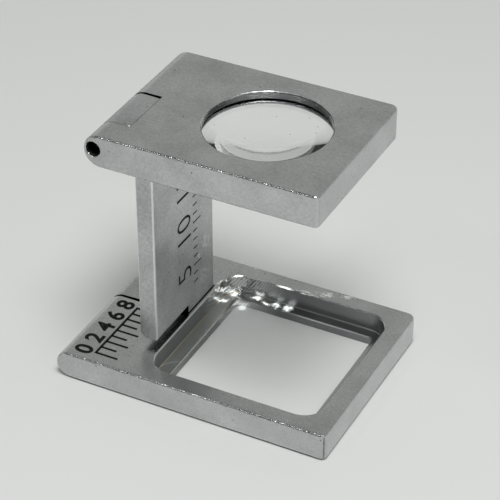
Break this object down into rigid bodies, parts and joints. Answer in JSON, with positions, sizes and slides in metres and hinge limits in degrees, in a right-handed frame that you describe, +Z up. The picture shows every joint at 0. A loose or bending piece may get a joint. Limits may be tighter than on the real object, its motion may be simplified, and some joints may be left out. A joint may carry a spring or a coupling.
{
  "type": "linen tester",
  "caption": "Folding linen tester: a lens in a plate held over a square-windowed base plate by a flat upright, with hinges that fold both plates flat behind it.",
  "frame": {"origin": "middle of the base plate's underside, with the instrument open and standing", "axes": "+X from the hinges towards the front end of the plates, +Y across the width towards the side that the lower pin enters from, +Z up"},
  "size_m": [0.0288, 0.021, 0.0273],
  "materials": {
    "satin_chrome": "satin chrome on a zinc die casting",
    "dark_steel": "blackened steel pin",
    "spring_steel": "drawn spring wire",
    "lens_glass": "polished clear glass"
  },
  "bodies": {
    "upright": {"upright": "satin_chrome"},
    "base": {"base_plate": "satin_chrome", "lower_hinge_pin": "dark_steel"},
    "lens_leaf": {"lens_plate": "satin_chrome", "upper_hinge_pin": "dark_steel", "lens": "lens_glass", "lens_retaining_ring": "spring_steel"}
  },
  "joints": [
    {"name": "base_hinge", "type": "hinge", "parent": "upright", "child": "base", "pos_m": [-0.01324, 0, 0.00113], "axis": [0, 1, 0], "range_deg": [0, 270]},
    {"name": "lens_plate_hinge", "type": "hinge", "parent": "upright", "child": "lens_leaf", "pos_m": [-0.01016, 0, 0.02583], "axis": [0, -1, 0], "range_deg": [0, 270]}
  ]
}
